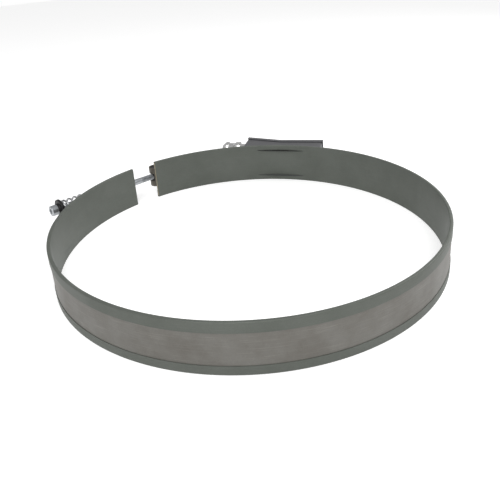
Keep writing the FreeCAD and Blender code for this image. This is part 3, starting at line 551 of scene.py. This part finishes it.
def make_spring():
    """Round wire wound in one close turn, ten open turns and one close turn."""
    wire, radius, close_pitch, open_turns = 1.25, 8.0, 2.6, 10
    start = SEAT_FACE + 0.1 + wire
    free = SPRING_END - SEAT_FACE - 2 * (wire + 0.1) - 2 * close_pitch
    lengths = []
    windings = ((close_pitch, 1), (free / open_turns, open_turns), (close_pitch, 1))
    for number, (pitch, turns) in enumerate(windings):
        deselect()
        bpy.ops.mesh.primitive_circle_add(vertices=14, radius=wire * MM, fill_type="NOTHING",
                                          location=(start * MM, radius * MM, 0))
        coil = bpy.context.object
        coil.name = f"coil_{number}"
        bpy.ops.object.transform_apply(location=True, rotation=True, scale=True)
        apply_modifier(coil, "SCREW", axis="X", angle=math.tau, screw_offset=pitch * MM,
                       iterations=turns, steps=40, render_steps=40, use_merge_vertices=False)
        lengths.append(coil)
        start += pitch * turns
    spring = join("round_wire_spring", lengths)
    edit(spring)
    bpy.ops.mesh.select_all(action="SELECT")
    bpy.ops.mesh.remove_doubles(threshold=1e-6)
    bpy.ops.mesh.fill_holes(sides=0)
    bpy.ops.mesh.normals_make_consistent(inside=False)
    leave_edit()
    put(spring, Matrix.Translation((0, CLAMP_LINE * MM, 0)))
    smooth(spring, 50)
    stand_for(spring, "band", spring_finish, "spring_steel", "clamp_spring")
    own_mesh(spring)


make_screw()
make_seat()
make_spring()

# ---------------------------------------------------------------- terminal box

box_turn = Matrix.Rotation(math.radians(BOX_ANGLE), 4, "Z")


def make_box_body():
    """Folded box saddled on the band, open at the top under its lid."""
    below = 200
    points = [(below, -HALF_LENGTH), (LOW_FACE, -HALF_LENGTH), (LOW_FACE, RAMP_START),
              (HIGH_FACE, HALF_LENGTH), (below, HALF_LENGTH)]
    obj = chain("folded_box", [(x, y, -BOX_HALF_WIDTH) for x, y in points])
    edit(obj)
    bpy.ops.mesh.select_all(action="SELECT")
    bpy.ops.mesh.edge_face_add()
    bpy.ops.mesh.extrude_region_move(TRANSFORM_OT_translate={"value": (0, 0, 2 * BOX_HALF_WIDTH * MM)})
    leave_edit()
    outward(obj)
    saddle = turned("saddle", [(-40, BAND + 0.1), (40, BAND + 0.1)], 360)
    put(saddle, Matrix.Rotation(math.pi / 2, 4, "Y"))
    boolean(obj, saddle, "DIFFERENCE")
    on_rim = (HIGH_FACE - LOW_FACE) / (HALF_LENGTH - RAMP_START)
    pick(obj, "FACE", lambda c: c.x > LOW_FACE + max(0, c.y - RAMP_START) * on_rim - 0.5)
    bpy.ops.mesh.delete(type="FACE")
    leave_edit()
    pick(obj, "EDGE", lambda c: abs(abs(c.y) - HALF_LENGTH) < 0.1 and abs(abs(c.z) - BOX_HALF_WIDTH) < 0.1)
    bpy.ops.mesh.bevel(offset=1.6 * MM, segments=4)
    leave_edit()
    apply_modifier(obj, "SOLIDIFY", thickness=1.0 * MM, offset=-1, use_even_offset=True)
    put(obj, box_turn)
    smooth(obj, 35)
    stand_for(obj, "band", paint_finish, "grey_paint", "terminal_box_body")


def make_lid():
    """Folded lid: flat half, rising half, flanges on both long sides and on the far end."""
    skin, flange = 0.5, 6
    width = LID_WIDTH - 2 * skin
    rise = (HIGH_FACE - LOW_FACE) / (HALF_LENGTH - RAMP_START)
    end = HALF_LENGTH + LID_CLEARANCE
    low, high = LOW_FACE + skin, HIGH_FACE + skin + rise * LID_CLEARANCE
    far = -HALF_LENGTH - LID_CLEARANCE - skin
    side = -width / 2
    obj = chain("folded_lid", [(low, far, side), (low, RAMP_START, side), (high, end, side)])
    draw_out(obj, [(0, 0, width)])
    rims = (lambda c: c.z > width / 2 - 0.1, lambda c: c.z < 0.1 - width / 2, lambda c: c.y < far + 0.1)
    for test in rims:
        pick(obj, "EDGE", test)
        bpy.ops.mesh.extrude_region_move(TRANSFORM_OT_translate={"value": (-(flange + skin) * MM, 0, 0)})
        leave_edit()
    edit(obj)
    bpy.ops.mesh.select_all(action="SELECT")
    bpy.ops.mesh.normals_make_consistent(inside=False)
    leave_edit()
    soften(obj, 1.2, 4, 40)
    apply_modifier(obj, "SOLIDIFY", thickness=2 * skin * MM, offset=0, use_even_offset=True)
    put(obj, box_turn)
    smooth(obj, 35)
    stand_for(obj, "band", paint_finish, "grey_paint", "terminal_box_lid")


make_box_body()
make_lid()

# ---------------------------------------------------------------- cable gland

gland_seat = Matrix.Translation((GLAND_LINE * MM, HALF_LENGTH * MM, GLAND_OFFSET * MM))
gland_place = box_turn @ gland_seat @ Matrix.Rotation(math.pi / 2, 4, "Z")


def hexagon(name, start, end, flats=24.0):
    """Hexagon with its corners turned off at both ends."""
    corner = flats / math.sqrt(3)
    prism = turned(name, [(start, corner), (end, corner)], 6)
    lead = (corner - flats / 2) * 0.55
    limit = turned("limit", [(start, flats / 2 - 0.1), (start + lead, corner + 0.05),
                             (end - lead, corner + 0.05), (end, flats / 2 - 0.1)], 72)
    boolean(prism, limit, "INTERSECT")
    return prism


def bored_hexagon(name, start, end, hole):
    """Hexagon with a round hole along its axis."""
    prism = hexagon(name, start, end)
    boolean(prism, turned("bore", [(start - 1, hole), (end + 1, hole)], 48), "DIFFERENCE")
    return prism


def make_gland_body():
    """Threaded stem, shoulder, hexagon and the neck that carries the dome nut."""
    hexes = bored_hexagon("gland_hexagon", 9, 18, 6.6)
    collar = turned("gland_collar", [
        (-8, 6.5), (-8, 9.6), (-7.6, 10), (0, 10), (0, 10.8), (8.6, 10.8), (9, 10.4),
        (18, 9.2), (28.6, 9.2), (29, 8.8), (29, 6.5), (-8, 6.5)], 72, closed=True)
    body = join("gland_stem", [hexes, collar])
    soften(body, 0.15, 2, 40)
    put(body, gland_place)
    smooth(body)
    stand_for(body, "band", nickel_finish, "nickel", "gland_body")


def make_dome_nut():
    """Dome nut with a short hexagon over a round skirt."""
    dome_hex = bored_hexagon("dome_hexagon", 26.3, 32.8, 9.4)
    skirt = turned("dome_skirt", [
        (18.3, 9.3), (18.3, 11.6), (18.7, 12), (32.8, 12), (35.2, 10.1), (35.8, 9.4),
        (35.8, 6.9), (35.4, 6.5), (33, 6.5), (32, 9.25), (18.3, 9.3)], 72, closed=True)
    dome = join("dome_nut", [dome_hex, skirt])
    soften(dome, 0.15, 2, 40)
    put(dome, gland_place)
    smooth(dome)
    stand_for(dome, "band", nickel_finish, "nickel", "gland_dome_nut")


def make_seal():
    """Rubber ring that grips a cable when the dome nut is tightened."""
    seal = turned("cable_seal", [
        (26, 4.5), (26, 6.4), (29.3, 6.4), (29.3, 9.15), (31.9, 9.15), (31.9, 4.9),
        (31.6, 4.5), (26, 4.5)], 64, closed=True)
    put(seal, gland_place)
    smooth(seal)
    stand_for(seal, "band", rubber_finish, "rubber", "gland_seal")


make_gland_body()
make_dome_nut()
make_seal()

# ---------------------------------------------------------------- room, light and camera


def white_to_camera(tree, shader_socket, level):
    """White where the camera, a mirror or a glass looks at it; the shader's own light elsewhere."""
    rays = add(tree, "ShaderNodeLightPath")
    seen = add(tree, "ShaderNodeMath", {0: rays.outputs["Is Camera Ray"], 1: rays.outputs["Is Glossy Ray"]},
               operation="MAXIMUM").outputs[0]
    seen = add(tree, "ShaderNodeMath", {0: seen, 1: rays.outputs["Is Transmission Ray"]},
               operation="MAXIMUM").outputs[0]
    strength = add(tree, "ShaderNodeMath", {0: seen, 1: level}, operation="MULTIPLY").outputs[0]
    glow = add(tree, "ShaderNodeEmission", {"Strength": strength}).outputs[0]
    return add(tree, "ShaderNodeAddShader", {0: shader_socket, 1: glow}).outputs[0]


def make_floor():
    """Pale floor a hair under the band's lower rim."""
    level = -HALF_WIDTH * MM - 0.00005
    deselect()
    bpy.ops.mesh.primitive_plane_add(size=8, location=(0, 0, level))
    floor = bpy.context.object
    floor.name = "pale_floor"
    bpy.ops.object.transform_apply(location=True, rotation=True, scale=True)
    material, tree, shader = new_material("pale_floor", 0.0)
    shader.inputs["Base Color"].default_value = (0.8, 0.8, 0.8, 1)
    shader.inputs["Roughness"].default_value = 0.9
    output = tree.nodes["Material Output"]
    tree.links.new(white_to_camera(tree, shader.outputs[0], 0.45), output.inputs["Surface"])
    dress(floor, material)


def make_world():
    world = bpy.data.worlds.new("soft_room")
    bpy.context.scene.world = world
    world.use_nodes = True
    tree = world.node_tree
    rays = add(tree, "ShaderNodeLightPath")
    background = tree.nodes["Background"]
    background.inputs["Color"].default_value = (1, 1, 1, 1)
    strength = add(tree, "ShaderNodeMapRange", {"Value": rays.outputs["Is Camera Ray"], "To Min": 0.55,
                                                "To Max": 1.0}).outputs[0]
    tree.links.new(strength, background.inputs["Strength"])


def area_light(name, place, target, size, power):
    deselect()
    bpy.ops.object.light_add(type="AREA", location=place)
    light = bpy.context.object
    light.name = name
    light.data.size = size
    light.data.energy = power
    light.rotation_mode = "QUATERNION"
    light.rotation_quaternion = (Vector(target) - Vector(place)).to_track_quat("-Z", "Y")


def make_camera():
    """Long-focus view from above, across the band towards its gap."""
    distance, height_angle, yaw, pitch, roll, heading = 0.6534, 28.29, 0.56, 4.66, -3.76, -40.7
    rise = math.radians(height_angle)
    back = Vector((0, -math.cos(rise), math.sin(rise)))
    right = Vector((1, 0, 0))
    up = right.cross(-back)
    forward = (-back + math.tan(math.radians(yaw)) * right + math.tan(math.radians(pitch)) * up).normalized()
    level_right = forward.cross(Vector((0, 0, 1))).normalized()
    level_up = level_right.cross(forward)
    tilt = math.radians(roll)
    camera_x = math.cos(tilt) * level_right + math.sin(tilt) * level_up
    camera_y = -math.sin(tilt) * level_right + math.cos(tilt) * level_up
    turn = Matrix.Rotation(math.radians(heading), 4, "Z")
    view = Matrix((camera_x, camera_y, -forward)).transposed().to_4x4()
    view.translation = back * distance
    drop = Matrix.Translation((0, 0, -HALF_WIDTH * MM))
    bpy.ops.object.camera_add()
    camera = bpy.context.object
    camera.name = "camera"
    camera.matrix_world = drop @ turn @ view
    sensor, focal_share = 36, 1.1772
    camera.data.sensor_width = sensor
    camera.data.lens = focal_share * sensor
    camera.data.shift_x = -0.008
    camera.data.shift_y = -0.1
    camera.data.clip_start = 0.01
    bpy.context.scene.camera = camera


make_floor()
make_world()
area_light("key_softbox", (-0.9, -0.9, 1.5), (0, 0, 0), 1.2, 22)
area_light("side_softbox", (1.3, -0.2, 0.9), (0, 0, 0), 1.0, 10)
make_camera()
bpy.context.scene.view_settings.view_transform = "Standard"
